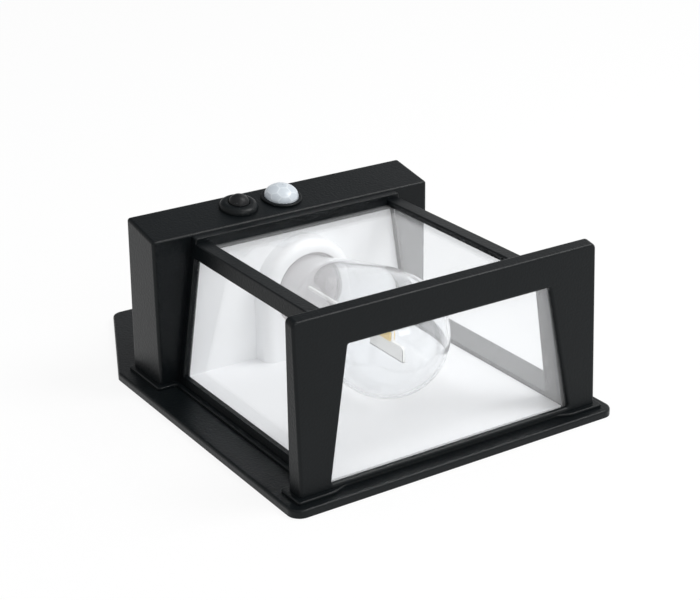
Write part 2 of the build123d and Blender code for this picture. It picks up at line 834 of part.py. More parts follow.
with BuildPart() as pir_sensor:
    with BuildSketch(pir_section) as can_profile:
        with BuildLine():
            Polyline(
                (0, -board_depth),
                (pir_can_flange_r, -board_depth),
                (pir_can_flange_r, -board_depth + pir_can_flange),
                (pir_can_r, -board_depth + pir_can_flange),
                (pir_can_r, -board_depth + pir_can_height),
                (0, -board_depth + pir_can_height),
                close=True,
            )
        make_face()
    revolve(axis=pir_line)
    with BuildSketch(face.offset(pir_can_height - board_depth)) as can_window:
        with Locations((0, control_rise)):
            Rectangle(pir_window, pir_window)
    extrude(amount=-pir_window_depth, mode=Mode.SUBTRACT)
pir_sensor.part.label = "pir_sensor"
export_step(pir_sensor.part, "parts/pir_sensor.step")

# Push button: collar on the face, cap that slides through it, switch on the board
with BuildPart() as button_collar:
    with BuildSketch(face) as collar_outline:
        with Locations((button_x, control_rise)):
            Circle(button_collar_r)
            Circle(button_r + button_gap, mode=Mode.SUBTRACT)
    extrude(amount=button_collar_rise)
    fillet(button_collar.faces().sort_by(Axis.Y)[0].outer_wire().edges(), button_collar_round)
button_collar.part.label = "button_collar"
export_step(button_collar.part, "parts/button_collar.step")

with BuildPart() as button_cap:
    with BuildSketch(button_section) as cap_profile:
        with BuildLine():
            Polyline(
                (button_r, button_wall_rise),
                (button_r, -button_flange_depth),
                (button_flange_r, -button_flange_depth),
                (button_flange_r, -button_flange_depth - button_flange_thickness),
                (button_stem_r, -button_flange_depth - button_flange_thickness),
                (button_stem_r, -plunger_top_depth),
                (0, -plunger_top_depth),
                (0, button_wall_rise + button_crown),
            )
            RadiusArc(
                (0, button_wall_rise + button_crown),
                (button_r, button_wall_rise),
                (button_r**2 + button_crown**2) / (2 * button_crown),
            )
        make_face()
    revolve(axis=button_line)
button_cap.part.label = "button_cap"
export_step(button_cap.part, "parts/button_cap.step")

with BuildPart() as switch_body:
    with BuildSketch(face.offset(-board_depth)) as switch_block:
        with Locations((button_x, control_rise)):
            Rectangle(switch_size, switch_size)
    extrude(amount=switch_height)
    with BuildSketch(face.offset(-switch_top_depth)) as switch_well:
        with Locations((button_x, control_rise)):
            Circle(plunger_r + plunger_gap)
    extrude(amount=-plunger_well, mode=Mode.SUBTRACT)
switch_body.part.label = "switch_body"
export_step(switch_body.part, "parts/switch_body.step")

with BuildPart() as switch_plunger:
    with BuildSketch(face.offset(-plunger_top_depth)):
        with Locations((button_x, control_rise)):
            Circle(plunger_r)
    extrude(amount=-plunger_length)
switch_plunger.part.label = "switch_plunger"
export_step(switch_plunger.part, "parts/switch_plunger.step")

# Circuit board on two bosses behind the face, held by two screws
with BuildPart() as circuit_board:
    with BuildSketch(face.offset(-board_depth)) as board_outline:
        with Locations((board_x, board_rise)):
            Rectangle(board_length, board_width)
        with Locations((board_x, board_boss_rise)):
            with GridLocations(board_boss_spacing, 0, 2, 1):
                Circle(board_screw_d / 2 + screw_clearance, mode=Mode.SUBTRACT)
    extrude(amount=-board_thickness)
circuit_board.part.label = "circuit_board"
export_step(circuit_board.part, "parts/circuit_board.step")

with BuildPart() as board_screws:
    with BuildSketch(face.offset(-board_depth - board_thickness)) as board_screw_heads:
        with Locations((board_x, board_boss_rise)):
            with GridLocations(board_boss_spacing, 0, 2, 1):
                Circle(board_screw_head_d / 2)
    extrude(amount=-board_screw_head)
    with BuildSketch(face.offset(-board_depth - board_thickness)) as board_screw_shanks:
        with Locations((board_x, board_boss_rise)):
            with GridLocations(board_boss_spacing, 0, 2, 1):
                Circle(board_screw_d / 2)
    extrude(amount=board_screw_length)
board_screws.part.label = "board_screws"
export_step(board_screws.part, "parts/board_screws.step")

# Battery cell across the housing in an open holder on the platform, with a contact at each end
cell_reach = seat + holder_floor + cell_r
cell_span = cell_length + cell_nub
holder_half = cell_span / 2 + contact_thickness
holder_height = housing_middle - holder_drop
cell_start = (-cell_span / 2, -cell_reach, holder_height - screw_row)
cell_plane = Plane(origin=cell_start, x_dir=(0, 1, 0), z_dir=(1, 0, 0))
with BuildPart() as battery_cell:
    with BuildSketch(cell_plane):
        Circle(cell_r)
    extrude(amount=cell_length)
    fillet(battery_cell.edges(), cell_round)
    with BuildSketch(cell_plane.offset(cell_length)):
        Circle(cell_nub_r)
    extrude(amount=cell_nub)
battery_cell.part.label = "battery_cell"
export_step(battery_cell.part, "parts/battery_cell.step")

holder_inner = 2 * (cell_r + cell_side_gap)
with BuildPart() as battery_holder:
    with BuildSketch(wall.offset(seat)) as holder_base:
        with Locations((0, holder_height)):
            Rectangle(2 * (holder_half + holder_end), holder_inner + 2 * holder_side)
    extrude(amount=holder_floor)
    with BuildSketch(wall.offset(seat)) as holder_sides:
        with Locations((0, holder_height)):
            Rectangle(2 * (holder_half + holder_end), holder_inner + 2 * holder_side)
            Rectangle(2 * (holder_half + holder_end), holder_inner, mode=Mode.SUBTRACT)
    extrude(amount=holder_side_reach)
    with BuildSketch(wall.offset(seat)) as holder_ends:
        with Locations((0, holder_height)):
            Rectangle(2 * (holder_half + holder_end), holder_inner + 2 * holder_side)
            Rectangle(2 * holder_half, holder_inner + 2 * holder_side, mode=Mode.SUBTRACT)
    extrude(amount=holder_end_reach)
battery_holder.part.label = "battery_holder"
export_step(battery_holder.part, "parts/battery_holder.step")

with BuildPart() as battery_contacts:
    with BuildSketch(wall.offset(seat + holder_floor)) as contact_plates:
        with Locations((0, holder_height)):
            with GridLocations(2 * holder_half - contact_thickness, 0, 2, 1):
                Rectangle(contact_thickness, contact_size)
    extrude(amount=cell_r + contact_size / 2)
battery_contacts.part.label = "battery_contacts"
export_step(battery_contacts.part, "parts/battery_contacts.step")

# Four screws from behind through plate and platform, two into the housing bosses, two into the frame legs
with BuildPart() as plate_screws:
    with BuildSketch(wall.offset(plate_screw_sink)) as plate_screw_heads:
        with Locations(plate_screw_spots):
            Circle(plate_screw_head_d / 2)
    extrude(amount=plate_screw_head)
    with BuildSketch(wall.offset(plate_screw_sink)) as plate_screw_shanks:
        with Locations(plate_screw_spots):
            Circle(plate_screw_d / 2)
    extrude(amount=plate_screw_length)
plate_screws.part.label = "plate_screws"
export_step(plate_screws.part, "parts/plate_screws.step")
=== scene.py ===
import json
from math import cos, pi, radians, sin

import bpy
from mathutils import Matrix, Vector


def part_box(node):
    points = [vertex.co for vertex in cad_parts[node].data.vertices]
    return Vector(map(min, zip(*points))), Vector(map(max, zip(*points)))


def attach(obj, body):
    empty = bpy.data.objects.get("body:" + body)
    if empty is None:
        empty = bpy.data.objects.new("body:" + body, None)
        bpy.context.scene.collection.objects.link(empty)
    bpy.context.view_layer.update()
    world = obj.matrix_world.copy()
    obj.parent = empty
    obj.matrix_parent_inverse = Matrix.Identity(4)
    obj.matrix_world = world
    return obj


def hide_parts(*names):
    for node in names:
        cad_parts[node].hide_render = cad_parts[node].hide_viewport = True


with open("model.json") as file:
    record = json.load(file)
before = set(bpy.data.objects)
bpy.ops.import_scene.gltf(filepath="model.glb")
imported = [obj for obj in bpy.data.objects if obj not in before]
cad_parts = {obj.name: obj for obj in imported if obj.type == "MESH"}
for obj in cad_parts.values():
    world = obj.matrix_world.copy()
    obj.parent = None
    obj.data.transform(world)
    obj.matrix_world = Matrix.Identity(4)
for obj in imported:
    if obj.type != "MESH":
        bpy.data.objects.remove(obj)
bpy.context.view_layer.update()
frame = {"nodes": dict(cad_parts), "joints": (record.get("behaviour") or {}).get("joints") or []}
nodes = frame["nodes"]
bpy.ops.object.select_all(action="DESELECT")

# Photographer's table: the light lies on its back, so the wall plane is a pale table top.
# A cut-out just inside the plate's outline leaves the back of the plate open to the light.
mm = 0.001
table_drop = 0.2 * mm
table_spread = 22.0
cut_inset = 1.2 * mm
tab_height, tab_taper = 52 * mm, 23 * mm
plate_low, plate_high = (Vector(c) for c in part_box("wall_plate"))
cut_half = plate_high.x - cut_inset
cut_corners = (
    (cut_half, plate_low.z + cut_inset),
    (cut_half, plate_high.z - tab_height),
    (cut_half - tab_taper, plate_high.z - cut_inset),
    (tab_taper - cut_half, plate_high.z - cut_inset),
    (-cut_half, plate_high.z - tab_height),
    (-cut_half, plate_low.z + cut_inset),
)
table_middle = (plate_low.z + plate_high.z) / 2
bpy.ops.mesh.primitive_circle_add(vertices=len(cut_corners), radius=cut_half, fill_type="NOTHING")
table = bpy.context.object
table.name = "table_top"
for corner, (across, up) in zip(table.data.vertices, cut_corners):
    corner.co = (across, table_drop, up)
bpy.ops.object.mode_set(mode="EDIT")
bpy.ops.mesh.select_all(action="SELECT")
bpy.ops.mesh.extrude_edges_move()
bpy.ops.transform.resize(
    value=(table_spread, 1, table_spread), center_override=(0, table_drop, table_middle)
)
bpy.ops.mesh.select_all(action="SELECT")
bpy.ops.mesh.normals_make_consistent(inside=False)
bpy.ops.object.mode_set(mode="OBJECT")
if table.data.polygons[0].normal.y > 0:
    table.data.flip_normals()

# Matt white laminate: it reads as plain white paper and still takes the soft shadow of the light.
# From below it lets the room's light through.


def linear(code):
    """An sRGB hex colour as linear red, green, blue and alpha."""
    parts = [int(code[i : i + 2], 16) / 255 for i in (1, 3, 5)]
    return [p / 12.92 if p <= 0.04045 else ((p + 0.055) / 1.055) ** 2.4 for p in parts] + [1.0]


def add_node(tree, kind, inputs=None, **settings):
    """Adds a node with its settings; each input is a value, or the socket that feeds it."""
    node = tree.nodes.new(kind)
    for name, value in settings.items():
        setattr(node, name, value)
    for name, value in (inputs or {}).items():
        if isinstance(value, bpy.types.NodeSocket):
            tree.links.new(value, node.inputs[name])
        else:
            node.inputs[name].default_value = value
    return node


def new_material(name):
    """An empty node material with its output node."""
    made = bpy.data.materials.new(name)
    made.use_nodes = True
    made.node_tree.nodes.clear()
    return made, made.node_tree, made.node_tree.nodes.new("ShaderNodeOutputMaterial")


table_white = 0.88
laminate, tree, output = new_material("white_laminate_table")
path = add_node(tree, "ShaderNodeLightPath")
seen = add_node(
    tree,
    "ShaderNodeMath",
    {0: path.outputs["Is Camera Ray"], 1: path.outputs["Is Glossy Ray"]},
    operation="MAXIMUM",
)
seen = add_node(
    tree,
    "ShaderNodeMath",
    {0: seen.outputs[0], 1: path.outputs["Is Transmission Ray"]},
    operation="MAXIMUM",
)
share = add_node(tree, "ShaderNodeMath", {0: seen.outputs[0], 1: table_white}, operation="MULTIPLY")
matt = add_node(tree, "ShaderNodeBsdfDiffuse", {"Color": linear("#f4f4f4")})
glow = add_node(tree, "ShaderNodeEmission", {"Color": linear("#ffffff"), "Strength": 1.0})
top = add_node(
    tree, "ShaderNodeMixShader", {0: share.outputs[0], 1: matt.outputs[0], 2: glow.outputs[0]}
)
side = add_node(tree, "ShaderNodeNewGeometry")
through = add_node(tree, "ShaderNodeBsdfTransparent")
faced = add_node(
    tree, "ShaderNodeMixShader", {0: side.outputs["Backfacing"], 1: top.outputs[0], 2: through.outputs[0]}
)
tree.links.new(faced.outputs[0], output.inputs["Surface"])
table.data.materials.append(laminate)

# White room round the table, brighter on the right, with a dim patch of ceiling behind the light,
# which keeps the black plastic black where it mirrors that patch. Seen directly it is plain white.
ceiling_way = Vector((0.10, -0.65, 0.75)).normalized()
ceiling_core, ceiling_rim = cos(radians(20)), cos(radians(40))
room_level, left_share = 0.86, 0.8
left_end, right_end = -0.7, 0.5
room = bpy.data.worlds.new("white_room")
bpy.context.scene.world = room
room.use_nodes = True
tree = room.node_tree
tree.nodes.clear()
way = add_node(tree, "ShaderNodeTexCoord")
near = add_node(
    tree, "ShaderNodeVectorMath", {0: way.outputs["Generated"], 1: ceiling_way}, operation="DOT_PRODUCT"
)
dim = add_node(
    tree,
    "ShaderNodeMapRange",
    {"Value": near.outputs["Value"], "From Min": ceiling_rim, "From Max": ceiling_core},
    interpolation_type="SMOOTHSTEP",
)
# A Mix node set to colour has its two colours at inputs 6 and 7, and its result at output 2
tone = add_node(
    tree,
    "ShaderNodeMix",
    {"Factor": dim.outputs["Result"], 6: linear("#ffffff"), 7: linear("#8c8e91")},
    data_type="RGBA",
)
spread = add_node(tree, "ShaderNodeSeparateXYZ", {0: way.outputs["Generated"]})
fall = add_node(
    tree,
    "ShaderNodeMapRange",
    {"Value": spread.outputs["X"], "From Min": left_end, "From Max": right_end, "To Min": left_share},
)
level = add_node(tree, "ShaderNodeMath", {0: fall.outputs["Result"], 1: room_level}, operation="MULTIPLY")
path = add_node(tree, "ShaderNodeLightPath")
direct = add_node(
    tree,
    "ShaderNodeMath",
    {0: path.outputs["Is Camera Ray"], 1: path.outputs["Is Transmission Ray"]},
    operation="MAXIMUM",
)
shaded = add_node(tree, "ShaderNodeBackground", {"Color": tone.outputs[2], "Strength": level.outputs[0]})
plain = add_node(tree, "ShaderNodeBackground", {"Color": linear("#ffffff"), "Strength": 1.0})
sky = add_node(
    tree, "ShaderNodeMixShader", {0: direct.outputs[0], 1: shaded.outputs[0], 2: plain.outputs[0]}
)
output = add_node(tree, "ShaderNodeOutputWorld", {"Surface": sky.outputs[0]})

# Two soft boxes over the table: the stronger one high on the right of the light, the weaker one in
# front of its lower end, to reach the white floor behind the frame.
light_aim = Vector((0, -0.03, -0.09))
for name, place, size, power in (
    ("soft_box_right", Vector((0.54, -0.88, -0.44)), 0.48, 6.3),
    ("soft_box_front", Vector((0.03, -0.54, -0.96)), 0.4, 1.7),
):
    bpy.ops.object.light_add(type="AREA", location=place)
    lamp = bpy.context.object
    lamp.name = name
    lamp.data.size = size
    lamp.data.energy = power
    lamp.rotation_euler = (light_aim - place).to_track_quat("-Z", "Y").to_euler()

# Camera at the photograph's viewing angle, looking down on the lower left corner of the light.
# Its place, axes and lens were fitted to edges measured in the photograph.
camera_place = Vector((-0.2974, -0.26504, -0.54288))
camera_right = Vector((0.837127, 0.011337, -0.546894))
camera_up = Vector((0.220225, -0.922173, 0.317991))
camera_back = Vector((-0.500723, -0.386636, -0.774461))
film_width, lens_length = 36.0, 86.762
bpy.ops.object.camera_add()
camera = bpy.context.object
camera_turn = Matrix((camera_right, camera_up, camera_back)).transposed().to_4x4()
camera.matrix_world = Matrix.Translation(camera_place) @ camera_turn
camera.data.sensor_fit = "HORIZONTAL"
camera.data.sensor_width = film_width
camera.data.lens = lens_length
camera.data.clip_start = 0.01
bpy.context.scene.camera = camera
bpy.context.scene.view_settings.view_transform = "Standard"

# Wall plate: black plate with a raised platform, injection moulded in ABS against a fine spark-eroded
# tool. The lamp body is screwed to it from behind and two wall screws hold its tapered tab.
# The tool's grain gives a satin black with soft, slightly broken highlights.
abs_grain, grain_depth = 0.8 * mm, 0.15 * mm
abs_cloud = 14 * mm
abs_gloss, grain_strength = (0.30, 0.42), 0.6
black_abs, tree, output = new_material("black_abs_spark_eroded")
place = add_node(tree, "ShaderNodeTexCoord")
# The real grain of about 0.05 mm is too fine to show, so it is drawn at 0.8 mm
grain = add_node(
    tree, "ShaderNodeTexNoise", {"Vector": place.outputs["Object"], "Scale": 1 / abs_grain, "Detail": 2.0}
)
cloud = add_node(
    tree, "ShaderNodeTexNoise", {"Vector": place.outputs["Object"], "Scale": 1 / abs_cloud, "Detail": 3.0}
)
tint = add_node(
    tree,
    "ShaderNodeMix",
    {"Factor": cloud.outputs["Fac"], 6: linear("#080c0e"), 7: linear("#0d1113")},
    data_type="RGBA",
)
satin = add_node(
    tree,
    "ShaderNodeMapRange",
    {"Value": grain.outputs["Fac"], "To Min": abs_gloss[0], "To Max": abs_gloss[1]},
)
bump = add_node(
    tree,
    "ShaderNodeBump",
    {"Height": grain.outputs["Fac"], "Strength": grain_strength, "Distance": grain_depth},
)
shell = add_node(
    tree,
    "ShaderNodeBsdfPrincipled",
    {
        "Base Color": tint.outputs[2],
        "Roughness": satin.outputs["Result"],
        "Normal": bump.outputs["Normal"],
        "IOR": 1.54,
        "Specular IOR Level": 0.16,
    },
)
tree.links.new(shell.outputs[0], output.inputs["Surface"])


def dress(node, made):
    """Gives a CAD node its material."""
    for held in nodes[node].material_slots:
        held.material = made


dress("wall_plate", black_abs)

# Seal in the platform's groove: soft black silicone rubber, moulded as a frame and pressed flat by the
# housing's rim. It looks dull and slightly paler than the plastic.


def mottled_material(name, patch, tones, gloss, surface):
    """A solid material whose colour and gloss drift a little between patches of a real size."""
    made, tree, output = new_material(name)
    place = add_node(tree, "ShaderNodeTexCoord")
    drift = add_node(tree, "ShaderNodeTexNoise", {"Vector": place.outputs["Object"], "Scale": 1 / patch})
    tint = add_node(
        tree,
        "ShaderNodeMix",
        {"Factor": drift.outputs["Fac"], 6: linear(tones[0]), 7: linear(tones[1])},
        data_type="RGBA",
    )
    rough = add_node(
        tree, "ShaderNodeMapRange", {"Value": drift.outputs["Fac"], "To Min": gloss[0], "To Max": gloss[1]}
    )
    body = add_node(
        tree,
        "ShaderNodeBsdfPrincipled",
        {"Base Color": tint.outputs[2], "Roughness": rough.outputs["Result"], **surface},
    )
    tree.links.new(body.outputs[0], output.inputs["Surface"])
    return made


black_rubber = mottled_material(
    "black_silicone_rubber_moulded",
    0.6 * mm,
    ("#101112", "#17181a"),
    (0.34, 0.5),
    {"IOR": 1.41, "Specular IOR Level": 0.3},
)
dress("housing_seal", black_rubber)

# Plate screws: four pan-head screws with a cross recess, cold headed in steel and zinc plated, driven
# from behind through the plate into the housing bosses and the legs of the end frame.
# The plating gives a bright, slightly cloudy grey.
zinc_steel = mottled_material(
    "zinc_plated_steel", 0.4 * mm, ("#b4b8bb", "#d6d8d8"), (0.22, 0.36), {"Metallic": 1.0}
)
dress("board_screws", zinc_steel)


def apply_modifier(piece, kind, **settings):
    """Adds a modifier with its settings and applies it to the mesh."""
    bpy.context.view_layer.objects.active = piece
    added = piece.modifiers.new(kind.lower(), kind)
    for name, value in settings.items():
        setattr(added, name, value)
    bpy.ops.object.modifier_apply(modifier=added.name)


def select_only(piece, kind, wanted):
    """Leaves the piece in edit mode with only the wanted faces or edges selected."""
    bpy.ops.object.mode_set(mode="EDIT")
    bpy.ops.mesh.select_mode(type=kind)
    bpy.ops.mesh.select_all(action="DESELECT")
    bpy.ops.object.mode_set(mode="OBJECT")
    for part in piece.data.polygons if kind == "FACE" else piece.data.edges:
        part.select = wanted(part)
    bpy.ops.object.mode_set(mode="EDIT")


def place_mesh(piece, matrix):
    """Moves the piece's mesh to its place and leaves its object at the origin."""
    piece.data.transform(matrix)
    piece.matrix_world = Matrix.Identity(4)
    piece.data.update()


def copies_joined(piece, name, matrices):
    """One object made of copies of a piece's mesh, one at each place."""
    made = []
    for matrix in matrices:
        one = piece.copy()
        one.data = piece.data.copy()
        bpy.context.collection.objects.link(one)
        place_mesh(one, matrix)
        made.append(one)
    bpy.data.objects.remove(piece)
    bpy.ops.object.select_all(action="DESELECT")
    for one in made:
        one.select_set(True)
    bpy.context.view_layer.objects.active = made[0]
    bpy.ops.object.join()
    bpy.context.object.name = name
    return bpy.context.object


screw_head_r, screw_head_h, screw_head_round = 2.7 * mm, 1.4 * mm, 0.55 * mm
screw_shank_r, screw_length, screw_sink = 1.25 * mm, 12 * mm, 0.2 * mm
cross_span, cross_width, cross_depth = 3.0 * mm, 0.62 * mm, 0.9 * mm
cross_turn, smooth_below = radians(20), radians(35)
head_sides, head_round_steps = 48, 4
facing_down = -0.9
screw_low, screw_high = (Vector(c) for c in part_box("plate_screws"))
screw_rows = (screw_low.z + screw_head_r, screw_high.z - screw_head_r)
leg_screw_half, boss_screw_half = screw_high.x - screw_head_r, 53.7 * mm
bpy.ops.mesh.primitive_cylinder_add(
    vertices=head_sides, radius=screw_head_r, depth=screw_head_h, location=(0, 0, -screw_head_h / 2)
)
screw = bpy.context.object
bpy.ops.object.transform_apply(location=True, rotation=True, scale=True)
select_only(screw, "FACE", lambda face: face.normal.z < facing_down)
bpy.ops.mesh.inset(thickness=screw_head_r - screw_shank_r)
bpy.ops.mesh.extrude_region_move(TRANSFORM_OT_translate={"value": (0, 0, screw_head_h - screw_length)})
rim_low = -screw_head_round / 2
select_only(screw, "EDGE", lambda edge: all(screw.data.vertices[i].co.z > rim_low for i in edge.vertices))
bpy.ops.mesh.bevel(offset=screw_head_round, segments=head_round_steps)
bpy.ops.object.mode_set(mode="OBJECT")
for arm in range(2):
    bpy.ops.mesh.primitive_cube_add(size=1.0, rotation=(0, 0, cross_turn + arm * pi / 2))
    driver_bit = bpy.context.object
    driver_bit.scale = (cross_span, cross_width, 2 * cross_depth)
    bpy.ops.object.transform_apply(location=True, rotation=True, scale=True)
    apply_modifier(screw, "BOOLEAN", object=driver_bit, operation="DIFFERENCE", solver="EXACT")
    bpy.data.objects.remove(driver_bit)
screw_turn = Matrix.Rotation(radians(-90), 4, "X")
screw_places = [
    Matrix.Translation((side_way * half, -screw_sink, row)) @ screw_turn
    for half, row in zip((leg_screw_half, boss_screw_half), screw_rows)
    for side_way in (-1, 1)
]
pan_screws = copies_joined(screw, "pan_head_screws", screw_places)
pan_screws.data.materials.append(zinc_steel)
bpy.ops.object.shade_smooth_by_angle(angle=smooth_below)
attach(pan_screws, "lamp")
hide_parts("plate_screws")

# Lamp body: housing block, ring, rails and lower end frame, one black ABS moulding with the plate's
# finish. Four screws from behind hold it on the platform.
dress("lamp_body", black_abs)

# Reflector: floor, end wall and arched boss behind the bulb, moulded in white polystyrene.
# It stands on the platform, and the ring holds its end wall against the housing.
# The polished tool leaves a soft gloss on a clean white.
white_ps = mottled_material(
    "white_polystyrene_moulded", 30 * mm, ("#f1f2f4", "#f7f8f9"), (0.28, 0.42), {"IOR": 1.59}
)
dress("reflector", white_ps)

# Bulb base: grey disc that plugs the bulb's neck, turned from satin polycarbonate and pushed into the
# boss. It looks an even, faintly pinkish grey.
grey_pc = mottled_material(
    "grey_polycarbonate_satin", 9 * mm, ("#a29d9f", "#aca8a9"), (0.4, 0.5), {"IOR": 1.58}
)
dress("bulb_base", grey_pc)

# Light strip: stepped board that stands in the base on a thin tail, with white solder resist on glass
# cloth. A thin darker line is drawn round the white near the board's edges.
resist_grain = 0.8 * mm
outline_width, inside_board = 0.32 * mm, 0.45 * mm
resist_gloss = (0.3, 0.42)
strip_low, strip_high = (Vector(c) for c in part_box("led_strip"))
white_resist, tree, output = new_material("white_solder_resist_on_board")
place = add_node(tree, "ShaderNodeTexCoord")
grain = add_node(
    tree, "ShaderNodeTexNoise", {"Vector": place.outputs["Object"], "Scale": 1 / resist_grain}
)
tint = add_node(
    tree,
    "ShaderNodeMix",
    {"Factor": grain.outputs["Fac"], 6: linear("#f4f4f1"), 7: linear("#fbfbf9")},
    data_type="RGBA",
)
spot = add_node(tree, "ShaderNodeSeparateXYZ", {0: place.outputs["Object"]})
back_edge = add_node(
    tree, "ShaderNodeMath", {0: spot.outputs["Y"], 1: strip_high.y - outline_width}, operation="GREATER_THAN"
)
front_edge = add_node(
    tree, "ShaderNodeMath", {0: spot.outputs["Y"], 1: strip_low.y + outline_width}, operation="LESS_THAN"
)
tip_edge = add_node(
    tree, "ShaderNodeMath", {0: spot.outputs["Z"], 1: strip_low.z + outline_width}, operation="LESS_THAN"
)
breadth = add_node(tree, "ShaderNodeMath", {0: spot.outputs["X"]}, operation="ABSOLUTE")
broad_face = add_node(
    tree, "ShaderNodeMath", {0: breadth.outputs[0], 1: inside_board}, operation="GREATER_THAN"
)
outer_edge = add_node(
    tree, "ShaderNodeMath", {0: front_edge.outputs[0], 1: tip_edge.outputs[0]}, operation="MAXIMUM"
)
face_line = add_node(
    tree, "ShaderNodeMath", {0: outer_edge.outputs[0], 1: broad_face.outputs[0]}, operation="MULTIPLY"
)
# A thin darker line along the back edge, and on the broad faces along the front edge and the tip
dark_outline = add_node(
    tree, "ShaderNodeMath", {0: back_edge.outputs[0], 1: face_line.outputs[0]}, operation="MAXIMUM"
)
edged = add_node(
    tree,
    "ShaderNodeMix",
    {"Factor": dark_outline.outputs[0], 6: tint.outputs[2], 7: linear("#4a4846")},
    data_type="RGBA",
)
gloss = add_node(
    tree,
    "ShaderNodeMapRange",
    {"Value": grain.outputs["Fac"], "To Min": resist_gloss[0], "To Max": resist_gloss[1]},
)
resist = add_node(
    tree,
    "ShaderNodeBsdfPrincipled",
    {"Base Color": edged.outputs[2], "Roughness": gloss.outputs["Result"]},
)
tree.links.new(resist.outputs[0], output.inputs["Surface"])
dress("led_strip", white_resist)

# Light packages: small blue chips under a block of yellow phosphor silicone, moulded over them and
# soldered to both sides of the strip. The silicone looks an even, soft yellow with rounded edges.
phosphor_silicone = mottled_material(
    "phosphor_silicone_moulded", 0.9 * mm, ("#f6c93c", "#fad65e"), (0.25, 0.35), {"IOR": 1.45}
)
package_length, package_height = 6.0 * mm, 0.7 * mm
package_round, package_round_steps = 0.3 * mm, 3
chips_low, chips_high = (Vector(c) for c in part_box("led_chips"))
chips_middle = (chips_low.y + chips_high.y) / 2
package_width = chips_high.y - chips_low.y
package_rows = (chips_low.z + package_length / 2, chips_high.z - package_length / 2)
bpy.ops.object.select_all(action="DESELECT")
bpy.ops.mesh.primitive_cube_add(size=1.0)
package = bpy.context.object
package.scale = (package_width, package_length, package_height)
bpy.ops.object.transform_apply(location=True, rotation=True, scale=True)
package.data.materials.append(phosphor_silicone)
select_only(package, "EDGE", lambda edge: max(package.data.vertices[i].co.z for i in edge.vertices) > 0)
bpy.ops.mesh.bevel(offset=package_round, segments=package_round_steps)
bpy.ops.object.mode_set(mode="OBJECT")
package_places = []
for facing in (1, -1):
    out_of_board = facing * (chips_high.x - package_height / 2)
    package_turn = Matrix(((0, 0, facing), (1, 0, 0), (0, facing, 0))).to_4x4()
    for row in package_rows:
        package_places.append(Matrix.Translation((out_of_board, chips_middle, row)) @ package_turn)
packages = copies_joined(package, "light_packages", package_places)
bpy.ops.object.shade_smooth_by_angle(angle=smooth_below)
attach(packages, "lamp")
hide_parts("led_chips")

# Bulb: pear-shaped clear globe, blow moulded in thin acrylic, whose wide neck is glued to the base.
# Blowing leaves faint long ripples in the clear wall.


def clear_material(name, ripple_size, ripple_depth, clarity, roughness, index):
    """A clear plastic with shallow ripples; light that falls through it keeps its way and strength."""
    made, tree, output = new_material(name)
    place = add_node(tree, "ShaderNodeTexCoord")
    ripple = add_node(
        tree, "ShaderNodeTexNoise", {"Vector": place.outputs["Object"], "Scale": 1 / ripple_size}
    )
    waves = add_node(
        tree,
        "ShaderNodeBump",
        {"Height": ripple.outputs["Fac"], "Strength": 0.12, "Distance": ripple_depth},
    )
    clear = add_node(
        tree,
        "ShaderNodeBsdfPrincipled",
        {
            "Base Color": linear("#fdfeff"),
            "Roughness": roughness,
            "IOR": index,
            "Transmission Weight": clarity,
            "Normal": waves.outputs["Normal"],
        },
    )
    path = add_node(tree, "ShaderNodeLightPath")
    passed = add_node(tree, "ShaderNodeBsdfTransparent", {"Color": linear("#fdfdfd")})
    lit = add_node(
        tree,
        "ShaderNodeMixShader",
        {0: path.outputs["Is Shadow Ray"], 1: clear.outputs[0], 2: passed.outputs[0]},
    )
    fair = add_node(
        tree,
        "ShaderNodeMixShader",
        {0: path.outputs["Is Diffuse Ray"], 1: lit.outputs[0], 2: passed.outputs[0]},
    )
    tree.links.new(fair.outputs[0], output.inputs["Surface"])
    return made


blown_acrylic = clear_material(
    "clear_acrylic_blown", 16 * mm, 0.3 * mm, clarity=0.97, roughness=0.02, index=1.5
)
bulb_low, bulb_high = (Vector(c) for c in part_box("bulb_globe"))
lamp_axis_y = (bulb_low.y + bulb_high.y) / 2
bulb_r = (bulb_high.x - bulb_low.x) / 2
bulb_rim, bulb_centre = bulb_high.z, bulb_low.z + bulb_r
bulb_wall, neck_r = 1.1 * mm, 13.2 * mm
shoulder_r, shoulder_drop = bulb_r - 4.1 * mm, 23.0 * mm
neck_steps, globe_steps, turn_steps = 14, 22, 96
seed_size, weld, wall_smooth = 0.1 * mm, 0.002 * mm, radians(40)


def neck_line(inset):
    """Radius and height of points from the rim to the widest ring, on two joined cubic spans."""
    knots = (
        Vector((neck_r - inset, bulb_rim)),
        Vector((shoulder_r - inset, bulb_rim - shoulder_drop)),
        Vector((bulb_r - inset, bulb_centre)),
    )
    lengths = [(b - a).length for a, b in zip(knots, knots[1:])]
    down = Vector((0, -1))
    slopes = (down, (knots[2] - knots[0]) / sum(lengths), down)
    line = []
    for span in range(2):
        start, end = knots[span], knots[span + 1]
        lead, trail = slopes[span] * lengths[span], slopes[span + 1] * lengths[span]
        for step in range(neck_steps):
            t = step / neck_steps
            line.append(
                start * (2 * t**3 - 3 * t**2 + 1)
                + lead * (t**3 - 2 * t**2 + t)
                + end * (3 * t**2 - 2 * t**3)
                + trail * (t**3 - t**2)
            )
    return line


def globe_line(inset):
    """Radius and height of points on the lower half ball, from the widest ring to the pole."""
    ball = bulb_r - inset
    angles = [step / globe_steps * pi / 2 for step in range(globe_steps + 1)]
    return [Vector((ball * cos(a), bulb_centre - ball * sin(a))) for a in angles]


